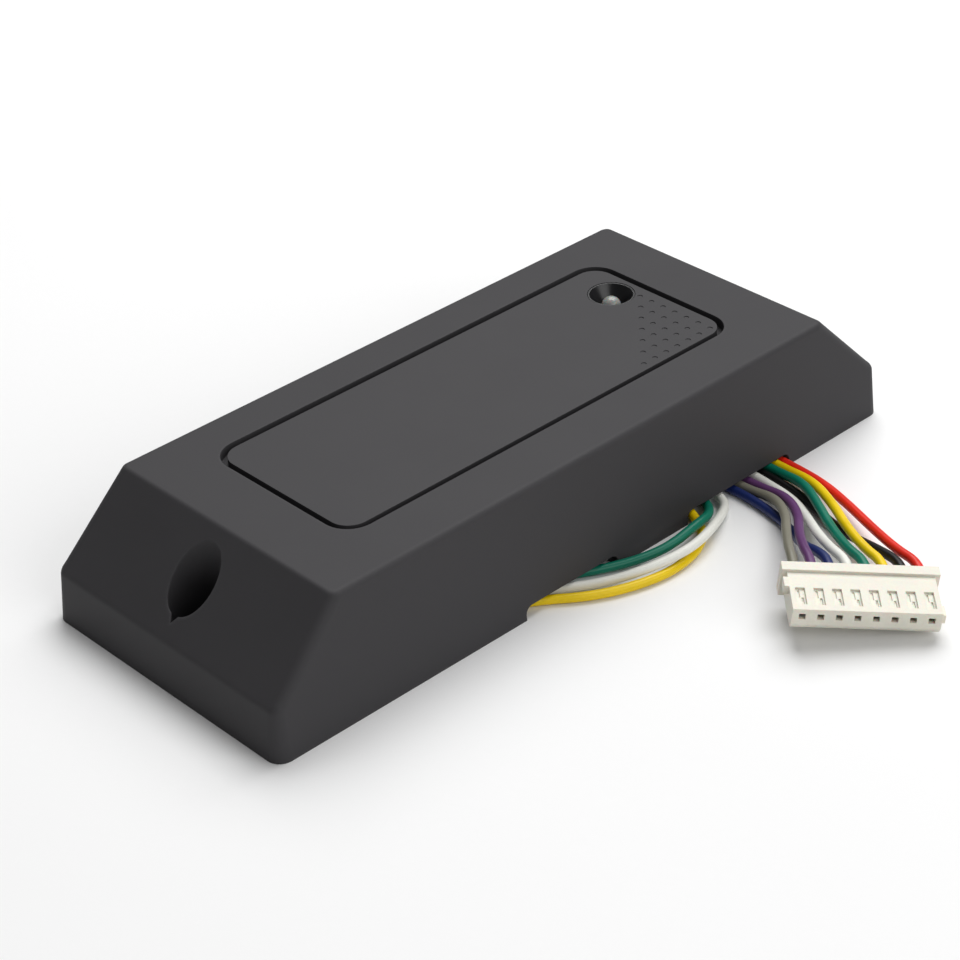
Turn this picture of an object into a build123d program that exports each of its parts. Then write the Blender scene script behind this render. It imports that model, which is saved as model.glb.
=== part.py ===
from build123d import *
import os
from math import cos, radians, sin, tan

# ---------------------------------------------------------------------------
# Driving dimensions, in millimetres.  X runs along the case towards the
# indicator light, -Y is the long side that the wires leave from, +Z points
# away from the wall, and the origin is the middle of the back face.
# ---------------------------------------------------------------------------
CASE_LENGTH = 120.0
CASE_WIDTH = 48.0
CASE_HEIGHT = 20.0
CASE_DRAFT = 4.6            # degrees, all four upright faces
CASE_CORNER_R = 2.2
WALL = 2.0
BAND_HEIGHT = 7.8           # upright band under each inclined end
TOP_LENGTH = 95.2           # flat top between the inclined ends
END_EDGE_R = 1.4            # inclined end to long side
TOP_EDGE_R = 0.9
CEILING = 17.0              # underside of the case's top wall
POTTING_BACK = 5.6          # the back recess ends at the resin

WELL_X = 53.0
WELL_R = 3.8
WELL_WALL = 1.5
WELL_FLOOR = 3.0
SCREW_HOLE_R = 2.0
WELL_GROOVE_DEPTH = 0.8
WELL_GROOVE_WIDTH = 1.3

NOTCH_HEIGHT = 2.05
NOTCH_R = 1.2
LOOP_NOTCH = (-15.6, 2.4) # where the slack loop leaves the case
LEAD_NOTCH = (16.8, 39.0)   # where it comes back, and the lead leaves

PANEL_CENTRE = (0.2, 0.9)
PANEL_LENGTH = 76.0
PANEL_WIDTH = 29.0
PANEL_CORNER_R = 4.2
PANEL_GAP = 1.0
PANEL_SINK = 0.12
PLATE_THICK = 1.2
ADHESIVE_THICK = 0.2
DIMPLE_ROWS = 7
DIMPLE_PITCH = 2.35
DIMPLE_R = 0.4
DIMPLE_DEPTH = 0.1
DIMPLE_CORNER = (35.2, -11.2)

LIGHT_AT = (32.8, 6.6)
BEZEL_R = 3.55
BEZEL_FIT = 0.08
BEZEL_BOTTOM = 16.0
BEZEL_THROAT = 17.4
BEZEL_RIM = 0.25
LED_R = 1.5
LED_TOP = 19.35
LED_FLANGE_R = 1.9
LED_FLANGE_HEIGHT = 1.0
LED_LEG = 0.5
LED_LEG_PITCH = 2.54
LED_LEG_REACH = 2.2

BOARD_LENGTH = 88.0
BOARD_WIDTH = 38.0
BOARD_BACK = 13.0
BOARD_THICK = 1.6
BOARD_FRONT = BOARD_BACK + BOARD_THICK
BOARD_PAD = 3.2
BOARD_PAD_AT = (41.0, 16.5)

COIL_AT = (-7.0, 0.0)
COIL_LENGTH = 66.0
COIL_WIDTH = 34.0
COIL_BAND = 3.0
COIL_THICK = 1.9
COIL_CORNER_R = 7.0

WIRE_D = 1.4
WIRE_PITCH = 1.7
CORNER_SHARE = 0.45         # of the shorter run, taken up by each bend
FLOOR_LINE = 0.8            # axis of a wire that lies on the wall
OVER_LINE = 2.6             # axis of a wire that lies over another one

BLOCK_X = (-6.0, 0.0)       # cable block; the wires leave its -X face
BLOCK_Y = (1.6, 16.3)
BLOCK_Z = (1.2, 9.0)
BLOCK_R = 0.8
FIRST_LANE_Y = 3.0
LANE_Z = 2.6
TAIL_R = 0.65
JOINT_R = 0.95
JOINT_HEIGHT = 0.8

PINS = 8
PIN_PITCH = 2.5
PLUG_ENTRY = (18.41, -53.75, 4.5)  # middle of the plug's wire face
PLUG_TURN = -42.3           # degrees, direction of the row of contacts
PLUG_ROLL = 5.4             # degrees, first contact held up off the wall
PLUG_NOSE = 5.4             # degrees, mating end dips
FLANGE_WIDTH = 21.7
FLANGE_DEPTH = 1.75
FLANGE_THICK = 4.6
SHELL_WIDTH = 20.3
SHELL_DEPTH = 7.7
SHELL_THICK = 3.6
SHELL_STEP = 0.42           # from the top of the flange down to the shell
SHELL_UNDERCUT = 0.9        # slope under the mating end
CONTACT_DROP = 1.25         # contact axis below the top of the shell
CAVITY = 1.8
CAVITY_WALL = 0.6
PIN_HOLE = 0.9
WINDOW_WIDTH = 1.3
WINDOW_LENGTH = 3.4
WINDOW_END = 1.1
WINDOW_DEPTH = 0.32
SLOT_WIDTH = 0.3           # two slots in each window, stepped like an S
SLOT_SHIFT = 0.24
SLOT_INSET = 0.2
RIB_DEPTH = 0.7
RIB_LENGTH = 2.0
RIB_THICK = 1.4
TERMINAL = 1.5
TERMINAL_BORE = 0.8
BARREL_LENGTH = 3.1

os.makedirs("parts", exist_ok=True)


def save(builder, label):
    """Label a finished piece and write it as its own STEP file."""
    builder.part.label = label
    export_step(builder.part, f"parts/{label}.step")


# ---------------------------------------------------------------------------
# Case
# ---------------------------------------------------------------------------
def end_wedge(side, inset):
    """Outline in XZ of what an inclined end takes off, moved inwards by inset."""
    band_x = CASE_LENGTH / 2 - BAND_HEIGHT * tan(radians(CASE_DRAFT))
    run = band_x - TOP_LENGTH / 2
    rise = CASE_HEIGHT - BAND_HEIGHT
    shift = inset * (run**2 + rise**2) ** 0.5 / rise
    foot = (band_x + run - shift, BAND_HEIGHT - rise)
    head = (TOP_LENGTH / 2 - run - shift, CASE_HEIGHT + rise)
    if inset == 0:
        foot = (band_x, BAND_HEIGHT)
    outer = CASE_LENGTH
    corners = [foot, head, (outer, head[1]), (outer, foot[1])]
    return [(side * x, z) for x, z in corners]


def boss_posts():
    """The two round posts that hold the screw wells."""
    with Locations((-WELL_X, 0), (WELL_X, 0)):
        Circle(WELL_R + WELL_WALL)


with BuildPart() as cavity:
    with BuildSketch():
        RectangleRounded(CASE_LENGTH - 2 * WALL, CASE_WIDTH - 2 * WALL, CASE_CORNER_R / 2)
    extrude(amount=CEILING, taper=CASE_DRAFT)
    for side in (-1, 1):
        with BuildSketch(Plane.XZ):
            Polygon(*end_wedge(side, WALL), align=None)
        extrude(amount=CASE_WIDTH, both=True, mode=Mode.SUBTRACT)
    with BuildSketch():
        boss_posts()
    extrude(amount=CASE_HEIGHT, mode=Mode.SUBTRACT)

with BuildPart() as front_cover:
    with BuildSketch():
        RectangleRounded(CASE_LENGTH, CASE_WIDTH, CASE_CORNER_R)
    extrude(amount=CASE_HEIGHT, taper=CASE_DRAFT)
    for side in (-1, 1):
        with BuildSketch(Plane.XZ):
            Polygon(*end_wedge(side, 0), align=None)
        extrude(amount=CASE_WIDTH, both=True, mode=Mode.SUBTRACT)
    inclines = front_cover.faces().filter_by(lambda f: 0.5 < f.normal_at().Z < 0.9)
    flanks = inclines.edges().filter_by(lambda e: abs(e.tangent_at(0.5).X) > 0.5)
    fillet(flanks, END_EDGE_R)
    fillet(front_cover.faces().sort_by(Axis.Z)[-1].edges(), TOP_EDGE_R)
    add(cavity.part, mode=Mode.SUBTRACT)
    with BuildSketch(Plane.XY.offset(CASE_HEIGHT)):
        with Locations(PANEL_CENTRE):
            RectangleRounded(PANEL_LENGTH, PANEL_WIDTH, PANEL_CORNER_R)
    extrude(amount=-(PANEL_SINK + PLATE_THICK + ADHESIVE_THICK), mode=Mode.SUBTRACT)
    with BuildSketch(Plane.XY.offset(CEILING - 1)):
        with Locations(LIGHT_AT):
            Circle(BEZEL_R + BEZEL_FIT)
    extrude(amount=CASE_HEIGHT, mode=Mode.SUBTRACT)
    with BuildSketch(Plane.XY.offset(WELL_FLOOR)):
        with Locations((-WELL_X, 0), (WELL_X, 0)):
            Circle(WELL_R)
        for side in (-1, 1):
            rim_x = side * (WELL_X + WELL_R)
            tip = (rim_x + side * WELL_GROOVE_DEPTH, 0)
            root_x = rim_x - side * WELL_GROOVE_DEPTH
            Polygon(
                tip,
                (root_x, WELL_GROOVE_WIDTH),
                (root_x, -WELL_GROOVE_WIDTH),
                align=None,
            )
    extrude(amount=CASE_HEIGHT, mode=Mode.SUBTRACT)
    with BuildSketch():
        with Locations((-WELL_X, 0), (WELL_X, 0)):
            Circle(SCREW_HOLE_R)
    extrude(amount=CASE_HEIGHT, mode=Mode.SUBTRACT)
    with BuildSketch(Plane.XY.offset(BOARD_FRONT)):
        with GridLocations(2 * BOARD_PAD_AT[0], 2 * BOARD_PAD_AT[1], 2, 2):
            Rectangle(BOARD_PAD, BOARD_PAD)
    extrude(amount=CEILING + WALL / 2 - BOARD_FRONT)
    for low_x, high_x in (LOOP_NOTCH, LEAD_NOTCH):
        with BuildSketch(Plane.XZ.offset(CASE_WIDTH / 2 + 1)):
            with Locations(((low_x + high_x) / 2, 0)):
                RectangleRounded(high_x - low_x, 2 * NOTCH_HEIGHT, NOTCH_R)
        extrude(amount=-(2 * WALL + 1), mode=Mode.SUBTRACT)
save(front_cover, "front_cover")

# ---------------------------------------------------------------------------
# Face plate, its adhesive, and the indicator light
# ---------------------------------------------------------------------------
plate_top = CASE_HEIGHT - PANEL_SINK
plate_bottom = plate_top - PLATE_THICK
dimples = [
    (DIMPLE_CORNER[0] - DIMPLE_PITCH * column, DIMPLE_CORNER[1] + DIMPLE_PITCH * row)
    for column in range(DIMPLE_ROWS)
    for row in range(DIMPLE_ROWS - column)
]


def plate_outline():
    """Rounded outline of the face plate with the hole for the bezel."""
    with Locations(PANEL_CENTRE):
        RectangleRounded(
            PANEL_LENGTH - 2 * PANEL_GAP,
            PANEL_WIDTH - 2 * PANEL_GAP,
            PANEL_CORNER_R - PANEL_GAP,
        )
    with Locations(LIGHT_AT):
        Circle(BEZEL_R + BEZEL_FIT, mode=Mode.SUBTRACT)


with BuildPart() as face_plate:
    with BuildSketch(Plane.XY.offset(plate_bottom)):
        plate_outline()
    extrude(amount=PLATE_THICK)
    with BuildSketch(Plane.XY.offset(plate_top - DIMPLE_DEPTH)):
        with Locations(*dimples):
            Circle(DIMPLE_R)
    extrude(amount=CASE_HEIGHT, mode=Mode.SUBTRACT)
save(face_plate, "face_plate")

with BuildPart() as plate_adhesive:
    with BuildSketch(Plane.XY.offset(plate_bottom - ADHESIVE_THICK)):
        plate_outline()
    extrude(amount=ADHESIVE_THICK)
save(plate_adhesive, "plate_adhesive")

bezel_top = plate_top - 0.05
led_bore = LED_R + 0.12
with BuildPart() as led_bezel:
    with BuildSketch(Plane.XZ):
        Polygon(
            (led_bore, BEZEL_BOTTOM),
            (BEZEL_R, BEZEL_BOTTOM),
            (BEZEL_R, bezel_top),
            (BEZEL_R - BEZEL_RIM, bezel_top),
            (led_bore, BEZEL_THROAT),
            align=None,
        )
    revolve(axis=Axis.Z)
led_bezel.part = Pos(*LIGHT_AT) * led_bezel.part
save(led_bezel, "led_bezel")

with BuildPart(Plane.XY.offset(BOARD_FRONT)) as status_led:
    with Locations(LIGHT_AT):
        Cylinder(
            LED_FLANGE_R,
            LED_FLANGE_HEIGHT,
            align=(Align.CENTER, Align.CENTER, Align.MIN),
        )
        Cylinder(
            LED_R,
            LED_TOP - LED_R - BOARD_FRONT,
            align=(Align.CENTER, Align.CENTER, Align.MIN),
        )
    with Locations((*LIGHT_AT, LED_TOP - LED_R - BOARD_FRONT)):
        Sphere(LED_R)
save(status_led, "status_led")

led_legs = [(LIGHT_AT[0], LIGHT_AT[1] + step * LED_LEG_PITCH / 2) for step in (-1, 1)]
with BuildPart() as led_leads:
    with BuildSketch(Plane.XY.offset(BOARD_FRONT - LED_LEG_REACH)):
        with Locations(*led_legs):
            Rectangle(LED_LEG, LED_LEG)
    extrude(amount=LED_LEG_REACH)
save(led_leads, "led_leads")

# ---------------------------------------------------------------------------
# Circuit board and what is on it
# ---------------------------------------------------------------------------
with BuildPart() as circuit_board:
    with BuildSketch(Plane.XY.offset(BOARD_BACK)):
        RectangleRounded(BOARD_LENGTH, BOARD_WIDTH, 1.5)
        with Locations(*led_legs):
            Circle(LED_LEG * 0.8, mode=Mode.SUBTRACT)
    extrude(amount=BOARD_THICK)
save(circuit_board, "circuit_board")

with BuildPart() as antenna_coil:
    with BuildSketch(Plane.XY.offset(BOARD_FRONT)):
        with Locations(COIL_AT):
            RectangleRounded(COIL_LENGTH, COIL_WIDTH, COIL_CORNER_R)
            RectangleRounded(
                COIL_LENGTH - 2 * COIL_BAND,
                COIL_WIDTH - 2 * COIL_BAND,
                COIL_CORNER_R - COIL_BAND,
                mode=Mode.SUBTRACT,
            )
    extrude(amount=COIL_THICK)
save(antenna_coil, "antenna_coil")


def gull_wing_chip(at, length, width, height, legs, leg_pitch):
    """A chip body under the board with a row of legs along each long side."""
    foot = 0.9
    with BuildPart() as chip:
        with BuildSketch(Plane.XY.offset(BOARD_BACK - height)):
            with Locations(at):
                Rectangle(length, width)
        extrude(amount=height)
        with BuildSketch(Plane.XY.offset(BOARD_BACK - 0.25)):
            with Locations(at):
                with GridLocations(leg_pitch, width + foot, legs, 2):
                    Rectangle(0.4, foot)
        extrude(amount=0.25)
    return chip


def chip_group(places, length, width, height):
    """Several small leadless parts of one kind on the back of the board."""
    with BuildPart() as group:
        with BuildSketch(Plane.XY.offset(BOARD_BACK - height)):
            with Locations(*places):
                Rectangle(length, width)
        extrude(amount=height)
    return group


microcontroller = gull_wing_chip((-16.0, -6.0), 10.0, 4.0, 1.5, 8, 1.27)
save(microcontroller, "microcontroller")
rfid_chip = gull_wing_chip((-32.0, -6.0), 8.7, 3.9, 1.5, 7, 1.27)
save(rfid_chip, "rfid_chip")
voltage_regulator = chip_group([(30.0, 12.0)], 6.5, 6.1, 2.3)
save(voltage_regulator, "voltage_regulator")
protection_diodes = chip_group([(20.0, 13.0), (20.0, 9.0)], 4.3, 2.6, 2.2)
save(protection_diodes, "protection_diodes")
transistors = chip_group([(8.0, -14.0), (14.0, -14.0), (20.0, -14.0)], 2.9, 1.3, 1.1)
save(transistors, "transistors")
chip_capacitors = chip_group(
    [(-40.0, 4.0), (-36.0, 4.0), (-24.0, -13.0), (-12.0, -13.0), (-8.0, -13.0), (36.0, 14.0)],
    2.0,
    1.25,
    0.9,
)
save(chip_capacitors, "chip_capacitors")
chip_resistors = chip_group(
    [(-38.0, -13.0), (-34.0, -13.0), (-30.0, -13.0), (2.0, -14.0), (2.0, -10.0), (38.0, 3.0)],
    1.6,
    0.8,
    0.45,
)
save(chip_resistors, "chip_resistors")

with BuildPart() as crystal:
    with BuildSketch(Plane.XY.offset(BOARD_BACK - 3.5)):
        with Locations((-24.0, 2.0)):
            SlotOverall(10.0, 4.4)
    extrude(amount=3.5)
save(crystal, "crystal")

with BuildPart() as electrolytic_capacitors:
    with BuildSketch(Plane.XY.offset(BOARD_BACK - 5.2)):
        with Locations((-34.0, 11.0), (-26.0, 11.0)):
            Circle(2.5)
    extrude(amount=5.2)
save(electrolytic_capacitors, "electrolytic_capacitors")

with BuildPart() as buzzer:
    with BuildSketch(Plane.XY.offset(BOARD_BACK - 4.8)):
        with Locations((30.0, -6.0)):
            Circle(4.5)
            Circle(0.8, mode=Mode.SUBTRACT)
    extrude(amount=4.8)
save(buzzer, "buzzer")

# ---------------------------------------------------------------------------
# Cable block, the wire tails above it, and the resin that closes the back
# ---------------------------------------------------------------------------
lane_ys = [FIRST_LANE_Y + WIRE_PITCH * lane for lane in range(PINS)]
block_middle_x = sum(BLOCK_X) / 2

with BuildPart() as cable_block:
    with BuildSketch(Plane.XY.offset(BLOCK_Z[0])):
        with Locations((block_middle_x, sum(BLOCK_Y) / 2)):
            RectangleRounded(BLOCK_X[1] - BLOCK_X[0], BLOCK_Y[1] - BLOCK_Y[0], BLOCK_R)
    extrude(amount=BLOCK_Z[1] - BLOCK_Z[0])
save(cable_block, "cable_block")

with BuildPart() as wire_tails:
    with BuildSketch(Plane.XY.offset(BLOCK_Z[1])):
        with Locations(*[(block_middle_x, y) for y in lane_ys]):
            Circle(TAIL_R)
    extrude(amount=BOARD_BACK - JOINT_HEIGHT - BLOCK_Z[1])
save(wire_tails, "wire_tails")

with BuildPart() as solder_joints:
    for lane_y in lane_ys:
        with Locations((block_middle_x, lane_y, BOARD_BACK - JOINT_HEIGHT / 2)):
            Cone(TAIL_R, JOINT_R * 0.85, JOINT_HEIGHT)
save(solder_joints, "solder_joints")

board_parts = [
    led_leads,
    microcontroller,
    rfid_chip,
    voltage_regulator,
    protection_diodes,
    transistors,
    chip_capacitors,
    chip_resistors,
    crystal,
    electrolytic_capacitors,
    buzzer,
    cable_block,
    wire_tails,
    solder_joints,
]
with BuildPart() as potting_resin:
    add(cavity.part)
    with BuildSketch(Plane.XY.offset(POTTING_BACK)):
        Rectangle(2 * CASE_LENGTH, 2 * CASE_WIDTH)
    extrude(amount=BOARD_BACK - POTTING_BACK, mode=Mode.INTERSECT)
    for piece in board_parts:
        add(piece.part, mode=Mode.SUBTRACT)
save(potting_resin, "potting_resin")

# ---------------------------------------------------------------------------
# Plug: crimp housing and terminals.  Its wires hold it just off the wall, the
# last contact lower than the first.
# ---------------------------------------------------------------------------
turn = radians(PLUG_TURN)
roll = radians(PLUG_ROLL)
nose = radians(PLUG_NOSE)
row_way = Vector(cos(turn) * cos(roll), sin(turn) * cos(roll), -sin(roll))
level_rear = Vector(-sin(turn), cos(turn), 0)
upright = row_way.cross(level_rear) * cos(nose) - level_rear * sin(nose)
plug_plane = Plane(origin=PLUG_ENTRY, x_dir=row_way, z_dir=upright)
shell_top = FLANGE_THICK / 2 - SHELL_STEP
shell_middle = shell_top - SHELL_THICK / 2
pin_line = shell_top - CONTACT_DROP
plug_depth = FLANGE_DEPTH + SHELL_DEPTH
pin_xs = [(pin - (PINS - 1) / 2) * PIN_PITCH for pin in range(PINS)]
LOW_BACK = (Align.CENTER, Align.MAX, Align.CENTER)

with BuildPart(plug_plane) as connector_housing:
    Box(FLANGE_WIDTH, FLANGE_DEPTH, FLANGE_THICK, align=LOW_BACK)
    fillet(connector_housing.edges(), 0.3)
    with BuildSketch(Plane(plug_plane.origin, x_dir=plug_plane.y_dir, z_dir=plug_plane.x_dir)):
        Polygon(
            (-FLANGE_DEPTH / 2, shell_top),
            (-plug_depth, shell_top),
            (-plug_depth, shell_top - SHELL_THICK + SHELL_UNDERCUT),
            (-plug_depth + SHELL_UNDERCUT, shell_top - SHELL_THICK),
            (-FLANGE_DEPTH / 2, shell_top - SHELL_THICK),
            align=None,
        )
    extrude(amount=SHELL_WIDTH / 2, both=True)
    rib_x = SHELL_WIDTH / 2 + RIB_DEPTH / 2
    with Locations((-rib_x, -3.0, shell_middle + 0.9), (rib_x, -6.4, shell_middle - 0.4)):
        Box(RIB_DEPTH, RIB_LENGTH, RIB_THICK, align=LOW_BACK)
    with Locations(*[(x, 0, pin_line) for x in pin_xs]):
        Box(CAVITY, plug_depth - CAVITY_WALL, CAVITY, align=LOW_BACK, mode=Mode.SUBTRACT)
        Box(PIN_HOLE, plug_depth + 1, PIN_HOLE, align=LOW_BACK, mode=Mode.SUBTRACT)
    window_back = -(plug_depth - WINDOW_END - WINDOW_LENGTH)
    with Locations(*[(x, window_back, shell_top) for x in pin_xs]):
        Box(WINDOW_WIDTH, WINDOW_LENGTH, 2 * WINDOW_DEPTH, align=LOW_BACK, mode=Mode.SUBTRACT)
    for shift, slot_back in ((-SLOT_SHIFT, SLOT_INSET), (SLOT_SHIFT, WINDOW_LENGTH / 2)):
        with Locations(*[(x + shift, window_back - slot_back, shell_top) for x in pin_xs]):
            Box(
                SLOT_WIDTH,
                WINDOW_LENGTH / 2 - SLOT_INSET,
                2 * CONTACT_DROP,
                align=LOW_BACK,
                mode=Mode.SUBTRACT,
            )
save(connector_housing, "connector_housing")

with BuildPart(plug_plane) as crimp_terminals:
    contact_length = plug_depth - CAVITY_WALL - BARREL_LENGTH - 0.1
    for x in pin_xs:
        with Locations((x, -BARREL_LENGTH / 2, pin_line)):
            Cylinder(WIRE_D / 2, BARREL_LENGTH, rotation=(90, 0, 0))
        with Locations((x, -BARREL_LENGTH, pin_line)):
            Box(TERMINAL, contact_length, TERMINAL, align=LOW_BACK)
        with Locations((x, -BARREL_LENGTH - 2.0, pin_line)):
            Box(
                TERMINAL_BORE,
                contact_length,
                TERMINAL_BORE,
                align=LOW_BACK,
                mode=Mode.SUBTRACT,
            )
save(crimp_terminals, "crimp_terminals")

# ---------------------------------------------------------------------------
# Wires.  Each one leaves the cable block, turns round in the back recess,
# and reaches its own contact in the plug.  Three of them swing out under the
# long side as a slack loop on the way.
# ---------------------------------------------------------------------------
LAST_RUN = 2.6              # straight stretch in front of the plug


def contact(pin, back):
    """A point on the axis of one contact, a distance back from the wire face."""
    place = plug_plane.from_local_coords(Vector(pin_xs[pin - 1], back, pin_line))
    return (place.X, place.Y, place.Z)


wire_routes = {
    "grey_wire": (1, [
        (-6.0, 8.1, 2.6), (-11.0, 8.1, 2.6), (-17.7, 8.0, 1.3), (-23.3, 2.4, 0.8),
        (-23.5, -6.0, 0.8), (-17.6, -11.6, 0.8), (-7.5, -12.3, 0.8), (4.0, -11.3, 0.8),
        (14.8, -12.2, 0.8), (24.4, -11.6, 0.8), (28.6, -16.0, 0.8), (28.8, -21.0, 0.8),
        (28.8, -25.4, 0.8), (28.2, -30.6, 2.1), (24.4, -35.8, 3.7), (20.0, -39.6, 4.9),
        (16.2, -43.2, 5.9),
    ]),
    "purple_wire": (2, [
        (-6.0, 6.4, 2.6), (-10.7, 6.4, 2.6), (-16.9, 6.3, 1.3), (-21.6, 1.7, 0.8),
        (-21.8, -5.2, 0.8), (-16.9, -9.9, 0.8), (-7.0, -10.6, 0.8), (4.2, -9.6, 0.8),
        (15.2, -10.5, 0.8), (25.4, -9.9, 0.8), (30.2, -15.2, 0.8), (30.4, -20.6, 0.8),
        (30.4, -26.0, 0.8), (29.6, -31.6, 2.1), (25.8, -37.0, 3.4), (21.2, -40.9, 4.6),
        (17.7, -44.6, 5.6),
    ]),
    "blue_wire": (3, [
        (-6.0, 9.8, 2.6), (-11.5, 9.8, 2.6), (-18.5, 9.7, 1.3), (-25.0, 3.1, 0.8),
        (-25.2, -6.8, 0.8), (-18.3, -13.3, 0.8), (-8.0, -14.0, 0.8), (3.8, -13.0, 0.8),
        (14.4, -13.9, 0.8), (23.3, -13.3, 0.8), (26.9, -17.0, 0.8), (27.2, -21.5, 0.8),
        (27.2, -26.0, 0.8), (26.7, -30.6, 0.8), (25.3, -35.4, 1.0), (22.6, -39.6, 2.0),
        (20.2, -43.2, 3.5), (18.7, -46.2, 5.1),
    ]),
    "white_wire": (4, [
        (-6.0, 13.2, 2.6), (-12.6, 13.2, 2.6), (-19.9, 13.1, 1.3), (-28.6, 4.5, 0.8),
        (-28.8, -8.2, 0.8), (-20.5, -16.4, 0.8), (-10.8, -20.6, 0.8), (-2.8, -26.4, 0.9),
        (4.6, -30.2, 2.3), (11.6, -30.7, 2.5), (18.6, -28.3, 2.0), (24.2, -25.0, 0.8),
        (24.7, -19.4, 1.4), (22.5, -13.6, 2.6), (22.5, -6.9, 2.6), (25.3, -4.1, 2.6),
        (29.3, -4.1, 2.6), (32.1, -6.9, 2.6), (32.1, -13.0, 2.6), (31.9, -19.4, 1.3),
        (31.9, -25.6, 0.8), (31.2, -31.6, 0.8), (27.6, -37.2, 2.0), (23.6, -42.2, 3.8),
        (20.5, -47.2, 5.1),
    ]),
    "green_wire": (5, [
        (-6.0, 11.5, 2.6), (-12.0, 11.5, 2.6), (-19.2, 11.4, 1.3), (-26.7, 3.8, 0.8),
        (-27.0, -7.6, 0.8), (-18.6, -15.4, 0.8), (-8.0, -19.2, 0.8), (1.0, -24.6, 0.8),
        (8.2, -27.7, 1.7), (14.8, -27.5, 2.7), (19.1, -26.2, 1.8), (22.0, -23.0, 0.8),
        (22.3, -18.2, 1.6), (20.8, -12.6, 2.6), (20.7, -6.0, 2.6), (24.9, -1.8, 2.6),
        (30.9, -1.8, 2.6), (35.1, -6.0, 2.6), (35.2, -12.8, 2.6), (34.9, -19.2, 1.3),
        (34.9, -25.8, 1.15), (33.2, -31.8, 2.8), (29.3, -37.8, 3.5), (25.6, -43.2, 4.0),
        (22.3, -48.8, 4.9),
    ]),
    "yellow_wire": (6, [
        (-6.0, 14.9, 2.6), (-13.0, 14.9, 2.6), (-20.6, 14.8, 1.3), (-30.3, 5.2, 0.8),
        (-30.5, -8.8, 0.8), (-23.0, -17.6, 0.8), (-13.4, -21.2, 0.8), (-5.8, -27.6, 0.8),
        (2.8, -30.8, 0.8), (10.0, -30.9, 0.8), (16.0, -28.2, 0.8), (18.9, -22.2, 1.0),
        (19.4, -15.8, 2.6), (18.9, -10.4, 2.6), (18.9, -5.3, 2.6), (24.1, -0.1, 2.6),
        (31.4, -0.1, 2.6), (36.6, -5.3, 2.6), (36.8, -12.6, 2.6), (36.4, -19.0, 1.4),
        (36.4, -25.0, 1.0), (35.2, -31.8, 2.2), (31.5, -38.6, 3.1), (27.3, -44.4, 4.1),
        (24.1, -50.4, 4.7),
    ]),
    "black_wire": (7, [
        (-6.0, 4.7, 2.6), (-10.4, 4.7, 2.6), (-17.2, 4.6, 1.2), (-20.9, -1.8, 0.8),
        (-17.3, -8.3, 0.8), (-6.6, -8.9, 0.8), (5.0, -7.9, 0.8), (16.4, -8.8, 0.8),
        (27.0, -8.2, 0.8), (33.2, -14.4, 0.8), (33.4, -20.0, 0.8), (33.4, -25.8, 0.8),
        (32.7, -32.2, 0.8), (30.4, -38.6, 0.9), (28.3, -44.8, 1.9), (26.1, -51.4, 3.9),
    ]),
    "red_wire": (8, [
        (-6.0, 3.0, 2.6), (-10.2, 3.0, 2.6), (-16.2, 2.9, 1.3), (-19.0, -1.95, 0.8),
        (-16.2, -6.8, 0.8), (-6.2, -7.1, 0.8), (5.6, -6.1, 0.8), (17.2, -7.0, 0.8),
        (30.9, -6.4, 0.8), (37.7, -13.2, 0.8), (38.0, -19.4, 0.8), (37.9, -25.6, 0.8),
        (37.0, -32.2, 1.2), (34.2, -39.2, 2.0), (30.9, -46.2, 2.9), (27.8, -53.0, 4.0),
    ]),
}


def bend_radii(points):
    """One radius for each corner of a route, as large as its two runs allow."""
    corners = [Vector(*point) for point in points]
    radii = []
    for before, corner, after in zip(corners, corners[1:], corners[2:]):
        arriving = corner - before
        leaving = after - corner
        shorter = min(arriving.length, leaving.length)
        half_turn = radians(arriving.get_angle(leaving) / 2)
        radii.append(CORNER_SHARE * shorter / tan(half_turn))
    return radii


def insulated_wire(points):
    """A round wire along straight runs joined by tangent arcs."""
    with BuildPart() as tube:
        with BuildLine() as route:
            FilletPolyline(*points, radius=bend_radii(points))
        start = Vector(*points[0])
        with BuildSketch(Plane(origin=start, z_dir=Vector(*points[1]) - start)):
            Circle(WIRE_D / 2)
        sweep()
    return tube, route.wires()[0].length


for name, (pin, laid) in wire_routes.items():
    points = laid + [contact(pin, LAST_RUN), contact(pin, 0)]
    wire, length = insulated_wire(points)
    print(name, "length", round(length, 1), "radii", [round(r, 1) for r in bend_radii(points)])
    save(wire, name)
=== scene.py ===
import math

import bmesh
import bpy
from mathutils import Matrix, Vector


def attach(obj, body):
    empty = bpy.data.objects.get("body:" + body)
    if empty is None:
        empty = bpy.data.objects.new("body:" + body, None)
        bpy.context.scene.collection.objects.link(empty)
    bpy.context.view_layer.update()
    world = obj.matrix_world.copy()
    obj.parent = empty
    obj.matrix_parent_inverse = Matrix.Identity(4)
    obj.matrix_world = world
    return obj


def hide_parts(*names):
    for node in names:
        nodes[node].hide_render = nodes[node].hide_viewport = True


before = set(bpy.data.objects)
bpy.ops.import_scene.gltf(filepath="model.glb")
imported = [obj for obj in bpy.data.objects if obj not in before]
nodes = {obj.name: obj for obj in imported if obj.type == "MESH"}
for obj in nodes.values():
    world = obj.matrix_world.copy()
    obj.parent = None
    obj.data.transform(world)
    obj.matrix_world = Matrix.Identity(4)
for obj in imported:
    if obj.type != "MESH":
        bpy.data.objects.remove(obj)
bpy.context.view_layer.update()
MM = 0.001


def link(name, data):
    """Make an object of a mesh, curve, light or camera and put it in the scene."""
    made = bpy.data.objects.new(name, data)
    bpy.context.scene.collection.objects.link(made)
    return made


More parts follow.
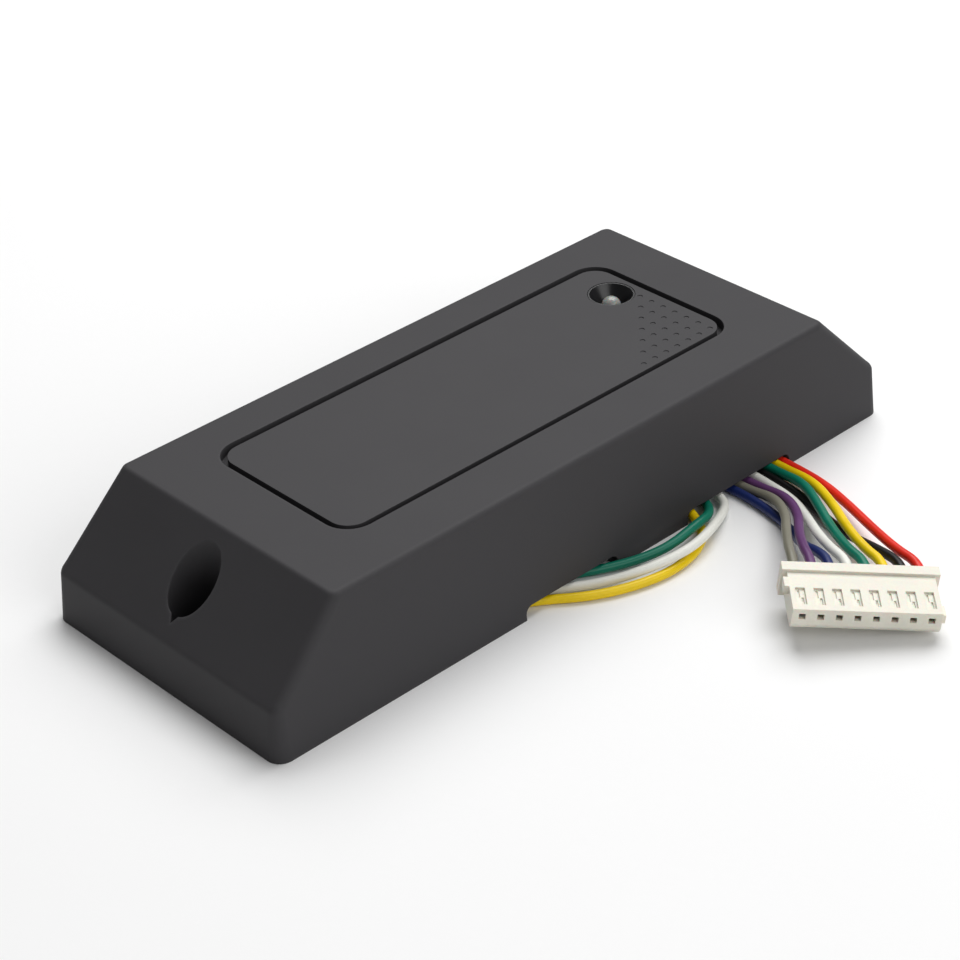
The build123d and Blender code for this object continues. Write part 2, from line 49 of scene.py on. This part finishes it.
# ---------------------------------------------------------------------------
# Camera
# ---------------------------------------------------------------------------
VIEW_AZIMUTH = math.radians(-42.39)
VIEW_ELEVATION = math.radians(32.93)
VIEW_ROLL = math.radians(-2.29)
VIEW_TARGET = Vector((-3.94, -2.76, 8.0)) * MM
VIEW_DISTANCE = 378.43 * MM
SENSOR = 36.0
LENS = 99.39

level_right = Vector((math.cos(VIEW_AZIMUTH), math.sin(VIEW_AZIMUTH), 0))
back = Vector((
    math.sin(VIEW_AZIMUTH) * math.cos(VIEW_ELEVATION),
    -math.cos(VIEW_AZIMUTH) * math.cos(VIEW_ELEVATION),
    math.sin(VIEW_ELEVATION),
))
level_up = back.cross(level_right)
right = level_right * math.cos(VIEW_ROLL) + level_up * math.sin(VIEW_ROLL)
up = back.cross(right)
camera = link("camera", bpy.data.cameras.new("camera"))
camera.matrix_world = (
    Matrix.Translation(VIEW_TARGET + back * VIEW_DISTANCE)
    @ Matrix((right, up, back)).transposed().to_4x4()
)
camera.data.sensor_width = SENSOR
camera.data.lens = LENS
bpy.context.scene.camera = camera

# ---------------------------------------------------------------------------
# The plug's own frame, in millimetres: x along the row of contacts, y out of
# the wire face, z out of the face with the windows
# ---------------------------------------------------------------------------
PINS = 8
PIN_PITCH = 2.5
PLUG_ENTRY = Vector((18.41, -53.75, 4.5)) * MM  # middle of the wire face
PLUG_TURN = math.radians(-42.3)     # direction of the row of contacts
PLUG_ROLL = math.radians(5.4)       # first contact held up off the floor
PLUG_NOSE = math.radians(5.4)       # mating end dips
FLANGE_THICK = 4.6
SHELL_STEP = 0.42                   # from the top of the flange to the shell
CONTACT_DROP = 1.25                 # contact axis below the top of the shell

row_way = Vector((
    math.cos(PLUG_TURN) * math.cos(PLUG_ROLL),
    math.sin(PLUG_TURN) * math.cos(PLUG_ROLL),
    -math.sin(PLUG_ROLL),
))
level_rear = Vector((-math.sin(PLUG_TURN), math.cos(PLUG_TURN), 0))
plug_up = (
    row_way.cross(level_rear) * math.cos(PLUG_NOSE) - level_rear * math.sin(PLUG_NOSE)
)
plug_matrix = (
    Matrix.Translation(PLUG_ENTRY)
    @ Matrix((row_way, plug_up.cross(row_way), plug_up)).transposed().to_4x4()
    @ Matrix.Scale(MM, 4)
)
shell_top = FLANGE_THICK / 2 - SHELL_STEP
pin_line = shell_top - CONTACT_DROP
pin_xs = [(pin - (PINS - 1) / 2) * PIN_PITCH for pin in range(PINS)]

# ---------------------------------------------------------------------------
# Wires.  Each route is a contact's number, the wire's length in metres, and
# control points in millimetres from the cable block towards the plug.
# ---------------------------------------------------------------------------
WIRE_D = 1.4
LAST_RUN = 2.6                      # straight into the contact

wire_routes = {
    "grey": (1, 0.1214, [
        (-6.0, 8.1, 2.6), (-11.0, 8.1, 2.6), (-17.7, 8.0, 1.3), (-23.3, 2.4, 0.8),
        (-23.5, -6.0, 0.8), (-17.6, -11.6, 0.8), (-7.5, -12.3, 0.8), (4.0, -11.3, 0.8),
        (14.8, -12.2, 0.8), (24.4, -11.6, 0.8), (28.6, -16.0, 0.8), (28.8, -21.0, 0.8),
        (28.8, -25.4, 0.8), (28.2, -30.6, 2.1), (24.4, -35.8, 3.7), (20.0, -39.6, 4.9),
        (16.2, -43.2, 5.9),
    ]),
    "purple": (2, 0.1199, [
        (-6.0, 6.4, 2.6), (-10.7, 6.4, 2.6), (-16.9, 6.3, 1.3), (-21.6, 1.7, 0.8),
        (-21.8, -5.2, 0.8), (-16.9, -9.9, 0.8), (-7.0, -10.6, 0.8), (4.2, -9.6, 0.8),
        (15.2, -10.5, 0.8), (25.4, -9.9, 0.8), (30.2, -15.2, 0.8), (30.4, -20.6, 0.8),
        (30.4, -26.0, 0.8), (29.6, -31.6, 2.1), (25.8, -37.0, 3.4), (21.2, -40.9, 4.6),
        (17.7, -44.6, 5.6),
    ]),
    "blue": (3, 0.1240, [
        (-6.0, 9.8, 2.6), (-11.5, 9.8, 2.6), (-18.5, 9.7, 1.3), (-25.0, 3.1, 0.8),
        (-25.2, -6.8, 0.8), (-18.3, -13.3, 0.8), (-8.0, -14.0, 0.8), (3.8, -13.0, 0.8),
        (14.4, -13.9, 0.8), (23.3, -13.3, 0.8), (26.9, -17.0, 0.8), (27.2, -21.5, 0.8),
        (27.2, -26.0, 0.8), (26.7, -30.6, 0.8), (25.3, -35.4, 1.0), (22.6, -39.6, 2.0),
        (20.2, -43.2, 3.5), (18.7, -46.2, 5.1),
    ]),
    "white": (4, 0.1787, [
        (-6.0, 13.2, 2.6), (-12.6, 13.2, 2.6), (-19.9, 13.1, 1.3), (-28.6, 4.5, 0.8),
        (-28.8, -8.2, 0.8), (-20.5, -16.4, 0.8), (-10.8, -20.6, 0.8), (-2.8, -26.4, 0.9),
        (4.6, -30.2, 2.3), (11.6, -30.7, 2.5), (18.6, -28.3, 2.0), (24.2, -25.0, 0.8),
        (24.7, -19.4, 1.4), (22.5, -13.6, 2.6), (22.5, -6.9, 2.6), (25.3, -4.1, 2.6),
        (29.3, -4.1, 2.6), (32.1, -6.9, 2.6), (32.1, -13.0, 2.6), (31.9, -19.4, 1.3),
        (31.9, -25.6, 0.8), (31.2, -31.6, 0.8), (27.6, -37.2, 2.0), (23.6, -42.2, 3.8),
        (20.5, -47.2, 5.1),
    ]),
    "green": (5, 0.1774, [
        (-6.0, 11.5, 2.6), (-12.0, 11.5, 2.6), (-19.2, 11.4, 1.3), (-26.7, 3.8, 0.8),
        (-27.0, -7.6, 0.8), (-18.6, -15.4, 0.8), (-8.0, -19.2, 0.8), (1.0, -24.6, 0.8),
        (8.2, -27.7, 1.7), (14.8, -27.5, 2.7), (19.1, -26.2, 1.8), (22.0, -23.0, 0.8),
        (22.3, -18.2, 1.6), (20.8, -12.6, 2.6), (20.7, -6.0, 2.6), (24.9, -1.8, 2.6),
        (30.9, -1.8, 2.6), (35.1, -6.0, 2.6), (35.2, -12.8, 2.6), (34.9, -19.2, 1.3),
        (34.9, -25.8, 1.15), (33.2, -31.8, 2.8), (29.3, -37.8, 3.5), (25.6, -43.2, 4.0),
        (22.3, -48.8, 4.9),
    ]),
    "yellow": (6, 0.1946, [
        (-6.0, 14.9, 2.6), (-13.0, 14.9, 2.6), (-20.6, 14.8, 1.3), (-30.3, 5.2, 0.8),
        (-30.5, -8.8, 0.8), (-23.0, -17.6, 0.8), (-13.4, -21.2, 0.8), (-5.8, -27.6, 0.8),
        (2.8, -30.8, 0.8), (10.0, -30.9, 0.8), (16.0, -28.2, 0.8), (18.9, -22.2, 1.0),
        (19.4, -15.8, 2.6), (18.9, -10.4, 2.6), (18.9, -5.3, 2.6), (24.1, -0.1, 2.6),
        (31.4, -0.1, 2.6), (36.6, -5.3, 2.6), (36.8, -12.6, 2.6), (36.4, -19.0, 1.4),
        (36.4, -25.0, 1.0), (35.2, -31.8, 2.2), (31.5, -38.6, 3.1), (27.3, -44.4, 4.1),
        (24.1, -50.4, 4.7),
    ]),
    "black": (7, 0.1228, [
        (-6.0, 4.7, 2.6), (-10.4, 4.7, 2.6), (-17.2, 4.6, 1.2), (-20.9, -1.8, 0.8),
        (-17.3, -8.3, 0.8), (-6.6, -8.9, 0.8), (5.0, -7.9, 0.8), (16.4, -8.8, 0.8),
        (27.0, -8.2, 0.8), (33.2, -14.4, 0.8), (33.4, -20.0, 0.8), (33.4, -25.8, 0.8),
        (32.7, -32.2, 0.8), (30.4, -38.6, 0.9), (28.3, -44.8, 1.9), (26.1, -51.4, 3.9),
    ]),
    "red": (8, 0.1256, [
        (-6.0, 3.0, 2.6), (-10.2, 3.0, 2.6), (-16.2, 2.9, 1.3), (-19.0, -1.95, 0.8),
        (-16.2, -6.8, 0.8), (-6.2, -7.1, 0.8), (5.6, -6.1, 0.8), (17.2, -7.0, 0.8),
        (30.9, -6.4, 0.8), (37.7, -13.2, 0.8), (38.0, -19.4, 0.8), (37.9, -25.6, 0.8),
        (37.0, -32.2, 1.2), (34.2, -39.2, 2.0), (30.9, -46.2, 2.9), (27.8, -53.0, 4.0),
    ]),
}


def insulated_wire(colour, points):
    """A round wire on a smooth line in place of the CAD's wire."""
    curve = bpy.data.curves.new(f"{colour}_insulated_wire", "CURVE")
    curve.dimensions = "3D"
    spline = curve.splines.new("NURBS")
    spline.points.add(len(points) - 1)
    for place, point in zip(spline.points, points):
        place.co = (*point, 1)
        place.radius = WIRE_D / 2 * MM
    spline.order_u = 3
    spline.use_endpoint_u = True
    curve.resolution_u = 10
    curve.bevel_depth = 1.0         # times the radius of each point
    curve.bevel_resolution = 7
    curve.use_fill_caps = True
    wire = link(curve.name, curve)
    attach(wire, "root")
    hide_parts(f"{colour}_wire")
    return wire


wires = {}
for colour, (pin, _, laid) in wire_routes.items():
    contact = [plug_matrix @ Vector((pin_xs[pin - 1], back_off, pin_line))
               for back_off in (LAST_RUN, 0)]
    wires[colour] = insulated_wire(colour, [Vector(point) * MM for point in laid] + contact)


# ---------------------------------------------------------------------------
# Plug pieces, built from boxes in the plug's own frame.  A box is its ranges
# in x, y and z.
# ---------------------------------------------------------------------------
def centred(middle, width):
    return (middle - width / 2, middle + width / 2)


def block_mesh(name, solids, hollows, shape=None):
    """Skin of the solid boxes less the hollow ones, changed at the end by shape."""
    lines = [
        sorted({edge for box in solids + hollows for edge in box[axis]}) for axis in range(3)
    ]
    spans = [list(zip(line, line[1:])) for line in lines]

    def inside(boxes, middle):
        return any(
            all(low < at < high for at, (low, high) in zip(middle, box)) for box in boxes
        )

    filled = set()
    for i, x in enumerate(spans[0]):
        for j, y in enumerate(spans[1]):
            for k, z in enumerate(spans[2]):
                middle = (sum(x) / 2, sum(y) / 2, sum(z) / 2)
                if inside(solids, middle) and not inside(hollows, middle):
                    filled.add((i, j, k))
    skin = bmesh.new()
    corners = {}

    def corner(key):
        if key not in corners:
            corners[key] = skin.verts.new([lines[axis][key[axis]] for axis in range(3)])
        return corners[key]

    for cell in filled:
        for axis in range(3):
            for side in (0, 1):
                beyond = list(cell)
                beyond[axis] += 2 * side - 1
                if tuple(beyond) in filled:
                    continue
                first, second = (axis + 1) % 3, (axis + 2) % 3
                ring = []
                for along, across in ((0, 0), (1, 0), (1, 1), (0, 1)):
                    key = list(cell)
                    key[axis] += side
                    key[first] += along
                    key[second] += across
                    ring.append(corner(tuple(key)))
                face = skin.faces.new(ring if side else ring[::-1])
                face.smooth = True
    if shape:
        shape(skin)
    mesh = bpy.data.meshes.new(name)
    skin.to_mesh(mesh)
    skin.free()
    return mesh


def plug_piece(mesh, cad_name, bevel):
    """Put a mesh made in the plug's frame in place of a CAD node."""
    mesh.transform(plug_matrix)
    piece = link(mesh.name, mesh)
    soften = piece.modifiers.new("moulded edges", "BEVEL")
    soften.width = bevel
    soften.segments = 3
    soften.limit_method = "ANGLE"
    soften.harden_normals = True
    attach(piece, "root")
    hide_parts(cad_name)
    return piece


# ---------------------------------------------------------------------------
# Connector housing: a flange, a shell with a stepped window over each contact,
# and a small rib on each side
# ---------------------------------------------------------------------------
FLANGE_WIDTH = 21.7
FLANGE_DEPTH = 1.75
SHELL_WIDTH = 20.3
SHELL_DEPTH = 7.7
SHELL_THICK = 3.6
SHELL_UNDERCUT = 0.9                # rise of the underside at the mating end
CAVITY = 1.8
CAVITY_WALL = 0.6                   # at the mating end
CAVITY_ROOF = 0.74
PIN_HOLE = 0.9
WINDOW_WIDTH = 1.3
WINDOW_LENGTH = 3.4
WINDOW_END = 1.1                    # from the mating end
WINDOW_DEPTH = 0.32
SLOT_WIDTH = 0.3                    # two slots in each window, stepped like an S
SLOT_DEPTH = 0.5
SLOT_SHIFT = 0.24
SLOT_INSET = 0.2
RIB_DEPTH = 0.7
RIB_LENGTH = 2.0
RIB_THICK = 1.4
RIBS = ((-1, -3.0, 1.395), (1, -6.4, 0.095))  # side, rear end and middle height
HOUSING_BEVEL = 0.14 * MM

plug_depth = FLANGE_DEPTH + SHELL_DEPTH
shell_bottom = shell_top - SHELL_THICK
window_front = WINDOW_END - plug_depth
window_back = window_front + WINDOW_LENGTH
window_middle = (window_front + window_back) / 2


def rib_box(side, rear, middle):
    near = side * SHELL_WIDTH / 2
    far = side * (SHELL_WIDTH / 2 + RIB_DEPTH)
    return (tuple(sorted((near, far))), (rear - RIB_LENGTH, rear), centred(middle, RIB_THICK))


def contact_hollows(x):
    """Cavity, pin hole, window and two slots of the contact at x."""
    slot_heights = (shell_top - SLOT_DEPTH, shell_top)
    return [
        (
            centred(x, CAVITY),
            (CAVITY_WALL - plug_depth, 0),
            (pin_line - CAVITY / 2, shell_top - CAVITY_ROOF),
        ),
        (centred(x, PIN_HOLE), (-plug_depth, 0), centred(pin_line, PIN_HOLE)),
        (
            centred(x, WINDOW_WIDTH),
            (window_front, window_back),
            (shell_top - WINDOW_DEPTH, shell_top),
        ),
        (
            centred(x - SLOT_SHIFT, SLOT_WIDTH),
            (window_middle, window_back - SLOT_INSET),
            slot_heights,
        ),
        (
            centred(x + SLOT_SHIFT, SLOT_WIDTH),
            (window_front + SLOT_INSET, window_middle),
            slot_heights,
        ),
    ]


def undercut(skin):
    """Slope the underside up towards the mating end."""
    near = 0.01
    for vert in skin.verts:
        if vert.co.y < -plug_depth + near and vert.co.z < shell_bottom + near:
            vert.co.z += SHELL_UNDERCUT


flange_box = (centred(0, FLANGE_WIDTH), (-FLANGE_DEPTH, 0), centred(0, FLANGE_THICK))
shell_box = (
    centred(0, SHELL_WIDTH), (-plug_depth, -FLANGE_DEPTH / 2), (shell_bottom, shell_top)
)
rib_boxes = [rib_box(*rib) for rib in RIBS]
hollows = [hollow for x in pin_xs for hollow in contact_hollows(x)]
housing_mesh = block_mesh(
    "plug_housing", [flange_box, shell_box, *rib_boxes], hollows, undercut
)
housing = plug_piece(housing_mesh, "connector_housing", HOUSING_BEVEL)

# ---------------------------------------------------------------------------
# Crimp terminals: each a folded box, open at the front and slit on top, and a
# barrel that grips the wire
# ---------------------------------------------------------------------------
TERMINAL = 1.5
TERMINAL_WALL = 0.2
TERMINAL_SETBACK = 2.2              # from the mating end
BOX_WEB = 1.6                       # closed part of the box, before the barrel
SLIT_FRONT = 0.5
SLIT_REAR = 2.0
BARREL_LENGTH = 3.0
BARREL_WIDTH = 1.34
BARREL_REAR = 0.1                   # inside the wire face
TERMINAL_BEVEL = 0.04 * MM

contact_front = TERMINAL_SETBACK - plug_depth
half = TERMINAL / 2
inner = half - TERMINAL_WALL
metal = []
gaps = []
for x in pin_xs:
    bore = (x - inner, x + inner)
    metal += [
        (centred(x, TERMINAL), (contact_front, -BARREL_LENGTH), centred(pin_line, TERMINAL)),
        (
            centred(x, BARREL_WIDTH),
            (-BARREL_LENGTH, -BARREL_REAR),
            centred(pin_line, BARREL_WIDTH),
        ),
    ]
    gaps += [
        (bore, (contact_front, -BARREL_LENGTH - BOX_WEB), (pin_line - inner, pin_line + inner)),
        (
            bore,
            (contact_front + SLIT_FRONT, -BARREL_LENGTH - SLIT_REAR),
            (pin_line + inner, pin_line + half),
        ),
    ]
terminal_mesh = block_mesh("crimp_contacts", metal, gaps)
terminals = plug_piece(terminal_mesh, "crimp_terminals", TERMINAL_BEVEL)

# ---------------------------------------------------------------------------
# Material tools
# ---------------------------------------------------------------------------
PATCH_DETAIL = 4.0
PATCH_RANGE = (0.3, 0.7)            # part of the noise's range that is used
ROUGH_RANGE = (0.25, 0.75)
GRAIN_DETAIL = 5.0
GRAIN_RANGE = (0.35, 0.75)
GRAIN_SHARE = 0.35                  # of the darker tone, at the most
EDGE_RANGE = (0.995, 0.80)          # cosine between the flat and rounded normals
EDGE_SAMPLES = 4
# Lighter edges: partly rubbed wear, partly a painted sheen standing in for light caught on
# rounded edges
RUB_AND_SHEEN_SIZE = 1.2 * MM
RUB_AND_SHEEN_DETAIL = 4.0
RUB_AND_SHEEN_LIGHTER = 2.5


class Look:
    """One material under construction, in the object's own coordinates."""

    def __init__(self, name):
        self.material = bpy.data.materials.new(name)
        self.material.use_nodes = True
        self.tree = self.material.node_tree
        self.shader = self.tree.nodes["Principled BSDF"]
        self.place = self.add("ShaderNodeTexCoord").outputs["Object"]

    def add(self, kind, inputs=(), **settings):
        node = self.tree.nodes.new(kind)
        for key, value in settings.items():
            setattr(node, key, value)
        for key, value in dict(inputs).items():
            self.feed(node.inputs[key], value)
        return node

    def feed(self, socket, value):
        if isinstance(value, bpy.types.NodeSocket):
            self.tree.links.new(value, socket)
        else:
            socket.default_value = value

    def noise(self, size, detail, stretch=None):
        """Noise with features about size metres across."""
        place = self.place
        if stretch:
            place = self.add(
                "ShaderNodeMapping", {"Vector": place, "Scale": stretch}
            ).outputs[0]
        node = self.add(
            "ShaderNodeTexNoise", {"Vector": place, "Scale": 1 / size, "Detail": detail}
        )
        return node.outputs["Fac"]

    def span(self, value, low, high, start=0.0, end=1.0):
        """Map low to high on to start to end."""
        node = self.add("ShaderNodeMapRange", {
            "Value": value, "From Min": low, "From Max": high,
            "To Min": start, "To Max": end,
        })
        return node.outputs[0]

    def product(self, first, second):
        node = self.add("ShaderNodeMath", operation="MULTIPLY")
        self.feed(node.inputs[0], first)
        self.feed(node.inputs[1], second)
        return node.outputs[0]

    def mix(self, amount, first, second):
        node = self.add("ShaderNodeMix", data_type="RGBA")
        self.feed(node.inputs[0], amount)
        self.feed(node.inputs[6], first)
        self.feed(node.inputs[7], second)
        return node.outputs[2]

    def rounded(self, radius):
        """The surface normal with its sharp edges rounded off."""
        return self.add(
            "ShaderNodeBevel", {"Radius": radius}, samples=EDGE_SAMPLES
        ).outputs[0]

    def edges(self, radius):
        """One on sharp edges and nought on flat ground."""
        bent = self.rounded(radius)
        flat = self.add("ShaderNodeNewGeometry").outputs["Normal"]
        node = self.add("ShaderNodeVectorMath", operation="DOT_PRODUCT")
        self.feed(node.inputs[0], bent)
        self.feed(node.inputs[1], flat)
        return self.span(node.outputs["Value"], *EDGE_RANGE)

    def bump(self, height, distance, normal):
        """A bumpy normal, on top of the given one if there is one."""
        inputs = {"Height": height, "Distance": distance, "Strength": 1.0}
        if normal is not None:
            inputs["Normal"] = normal
        return self.add("ShaderNodeBump", inputs).outputs[0]


def rgb(colour, factor):
    return (*[min(1.0, c * factor) for c in colour], 1.0)


def surface(
    name,
    colour,
    rough,
    grain=0.3 * MM,
    depth=0.01 * MM,
    patch=6.0 * MM,
    vary=0.12,
    rough_vary=0.08,
    edge=0.15 * MM,
    wear_and_sheen=0.0,
    streak=None,
    metallic=0.0,
    **sockets,
):
    """A moulded, drawn or plated surface with grain, patchy colour and soft edges."""
    look = Look(name)
    shader = look.shader
    patches = look.noise(patch, PATCH_DETAIL)
    fine = look.noise(grain, GRAIN_DETAIL, streak)
    darker = rgb(colour, 1 - 2 * vary)
    tone = look.mix(
        look.span(patches, *PATCH_RANGE), rgb(colour, 1 - vary), rgb(colour, 1 + vary)
    )
    tone = look.mix(look.span(fine, *GRAIN_RANGE, 0.0, GRAIN_SHARE), tone, darker)
    roughness = look.span(patches, *ROUGH_RANGE, rough - rough_vary, rough + rough_vary)
    # Edges made lighter (edge mask times noise): rubbed wear mixed with a painted sheen on the
    # edges
    if wear_and_sheen:
        rub_and_sheen = look.product(look.edges(3 * edge), look.noise(RUB_AND_SHEEN_SIZE, RUB_AND_SHEEN_DETAIL))
        tone = look.mix(look.product(rub_and_sheen, wear_and_sheen), tone, rgb(colour, RUB_AND_SHEEN_LIGHTER))
    look.feed(shader.inputs["Base Color"], tone)
    look.feed(shader.inputs["Roughness"], roughness)
    shader.inputs["Metallic"].default_value = metallic
    for socket, value in sockets.items():
        shader.inputs[socket.replace("_", " ")].default_value = value
    normal = look.rounded(edge) if edge else None
    look.feed(shader.inputs["Normal"], look.bump(fine, depth, normal))
    return look.material


def dress(obj, material):
    """Give every material slot of a CAD node or a piece one material."""
    if not obj.material_slots:
        obj.data.materials.append(material)
    for place in obj.material_slots:
        place.material = material


# ---------------------------------------------------------------------------
# Materials: wires
# ---------------------------------------------------------------------------
WIRE_COLOURS = {
    "grey": (0.22, 0.21, 0.165),
    "purple": (0.125, 0.045, 0.15),
    "blue": (0.008, 0.02, 0.115),
    "white": (0.80, 0.80, 0.74),
    "green": (0.0, 0.17, 0.105),
    "yellow": (0.86, 0.60, 0.0),
    "black": (0.004, 0.0035, 0.0035),
    "red": (0.76, 0.022, 0.008),
}
for colour, wire in wires.items():
    dress(wire, surface(
        f"{colour}_pvc", WIRE_COLOURS[colour], 0.38, grain=0.5 * MM, depth=0.012 * MM,
        patch=5 * MM, vary=0.06, edge=0, Specular_IOR_Level=0.35,
    ))

# ---------------------------------------------------------------------------
# Materials: case, face plate and the dish round the light
# ---------------------------------------------------------------------------
dress(nodes["front_cover"], surface(
    "case_plastic", (0.046, 0.0445, 0.0475), 0.62, grain=0.22 * MM, depth=0.014 * MM,
    patch=9 * MM, vary=0.03, rough_vary=0.03, edge=0.25 * MM, wear_and_sheen=0.35,
    Specular_IOR_Level=0.22,
))
dress(nodes["face_plate"], surface(
    "plate_plastic", (0.047, 0.0455, 0.0485), 0.60, grain=0.2 * MM, depth=0.012 * MM,
    patch=8 * MM, vary=0.03, rough_vary=0.03, edge=0.12 * MM, wear_and_sheen=0.25,
    Specular_IOR_Level=0.22,
))
dress(nodes["led_bezel"], surface(
    "bezel_gloss", (0.004, 0.004, 0.005), 0.34, grain=0.6 * MM, depth=0.003 * MM,
    vary=0.05, rough_vary=0.04, edge=0.08 * MM,
))
dress(nodes["plate_adhesive"], surface(
    "foam_tape", (0.05, 0.05, 0.05), 0.9, grain=0.15 * MM, depth=0.03 * MM, edge=0,
))

# ---------------------------------------------------------------------------
# Materials: what closes the back
# ---------------------------------------------------------------------------
dress(nodes["potting_resin"], surface(
    "potting_epoxy", (0.012, 0.012, 0.014), 0.22, grain=7 * MM, depth=0.25 * MM,
    patch=14 * MM, vary=0.15, rough_vary=0.1, edge=0.3 * MM,
))
dress(nodes["cable_block"], surface(
    "block_rubber", (0.02, 0.02, 0.021), 0.6, grain=0.3 * MM, depth=0.02 * MM,
    edge=0.4 * MM, wear_and_sheen=0.3,
))

# ---------------------------------------------------------------------------
# Materials: the board and what it carries
# ---------------------------------------------------------------------------
dress(nodes["circuit_board"], surface(
    "solder_mask", (0.012, 0.16, 0.06), 0.3, grain=0.5 * MM, depth=0.01 * MM,
    vary=0.15, edge=0.1 * MM, streak=(1, 12, 1),
))
dress(nodes["antenna_coil"], surface(
    "enamelled_copper", (0.6, 0.22, 0.09), 0.3, grain=0.12 * MM, depth=0.03 * MM,
    vary=0.12, edge=0.1 * MM, streak=(0.1, 1, 4), metallic=1.0,
))
chip_epoxy = surface(
    "chip_epoxy", (0.02, 0.02, 0.021), 0.55, grain=0.1 * MM, depth=0.006 * MM, edge=0.08 * MM,
)
for name in ("microcontroller", "rfid_chip", "voltage_regulator", "protection_diodes",
             "transistors", "chip_resistors"):
    dress(nodes[name], chip_epoxy)
dress(nodes["chip_capacitors"], surface(
    "fired_ceramic", (0.42, 0.27, 0.14), 0.45, grain=0.1 * MM, depth=0.005 * MM, edge=0.06 * MM,
))
dress(nodes["buzzer"], surface(
    "sounder_plastic", (0.012, 0.012, 0.012), 0.4, grain=0.3 * MM, depth=0.01 * MM,
))
tinned = surface(
    "tinned_steel", (0.62, 0.61, 0.58), 0.28, grain=0.15 * MM, depth=0.004 * MM,
    vary=0.1, edge=0.05 * MM, streak=(1, 1, 6), metallic=1.0,
)
for name in ("led_leads", "crystal", "solder_joints"):
    dress(nodes[name], tinned)
dress(nodes["electrolytic_capacitors"], surface(
    "drawn_aluminium", (0.75, 0.75, 0.77), 0.3, grain=0.15 * MM, depth=0.004 * MM,
    edge=0.2 * MM, streak=(1, 1, 8), metallic=1.0,
))
dress(nodes["wire_tails"], surface(
    "tail_pvc", (0.2, 0.2, 0.2), 0.4, grain=0.4 * MM, depth=0.01 * MM, edge=0,
))

# ---------------------------------------------------------------------------
# Materials: plug and light
# ---------------------------------------------------------------------------
dress(housing, surface(
    "natural_nylon", (0.76, 0.735, 0.635), 0.42, grain=0.4 * MM, depth=0.01 * MM,
    patch=4 * MM, vary=0.05, edge=0.12 * MM, Subsurface_Weight=0.3, Subsurface_Scale=0.6 * MM,
))
dress(terminals, surface(
    "tinned_bronze", (0.72, 0.68, 0.58), 0.32, grain=0.15 * MM, depth=0.004 * MM,
    vary=0.1, edge=0.05 * MM, streak=(1, 1, 6), metallic=1.0,
))
dress(nodes["status_led"], surface(
    "led_epoxy", (0.40, 0.40, 0.38), 0.22, grain=0.5 * MM, depth=0.002 * MM,
    vary=0.02, rough_vary=0.03, edge=0, Transmission_Weight=0.25, IOR=1.54,
    Subsurface_Weight=0.5, Subsurface_Scale=0.8 * MM,
))

# ---------------------------------------------------------------------------
# Floor and light
# ---------------------------------------------------------------------------
FLOOR_REACH = 2.0
FLOOR_DROP = 0.01 * MM
AMBIENT = 0.12

floor_mesh = bpy.data.meshes.new("floor")
sheet = bmesh.new()
bmesh.ops.create_grid(sheet, x_segments=1, y_segments=1, size=FLOOR_REACH)
sheet.to_mesh(floor_mesh)
sheet.free()
floor = link("floor", floor_mesh)
floor.location.z = -FLOOR_DROP
dress(floor, surface(
    "paper_sweep", (0.90, 0.90, 0.90), 0.9, grain=1.5 * MM, depth=0.01 * MM,
    patch=60 * MM, vary=0.005, rough_vary=0.02, edge=0, Specular_IOR_Level=0.2,
))


def softbox(name, direction, distance, width, height, power):
    """A rectangular light in the given direction that faces the object."""
    light = bpy.data.lights.new(name, "AREA")
    light.shape = "RECTANGLE"
    light.size = width
    light.size_y = height
    light.energy = power
    lamp = link(name, light)
    way = Vector(direction).normalized()
    lamp.location = way * distance
    lamp.rotation_mode = "QUATERNION"
    lamp.rotation_quaternion = way.to_track_quat("Z", "Y")


softbox(
    "overhead_light", (0.45, 0.22, 0.87), distance=0.95, width=0.9, height=0.9, power=10.8
)
softbox(
    "front_light", (0.04, -0.83, 0.55), distance=0.95, width=0.9, height=0.6, power=3.7
)

world = bpy.data.worlds.new("studio")
world.use_nodes = True
background = world.node_tree.nodes["Background"]
background.inputs["Color"].default_value = (1, 1, 1, 1)
background.inputs["Strength"].default_value = AMBIENT
bpy.context.scene.world = world
bpy.context.scene.view_settings.view_transform = "Standard"

# ---------------------------------------------------------------------------
# Each wire's length and route looked up again; nothing is done with them
# ---------------------------------------------------------------------------
for colour, wire in wires.items():
    _, length, laid = wire_routes[colour]

bpy.context.view_layer.update()
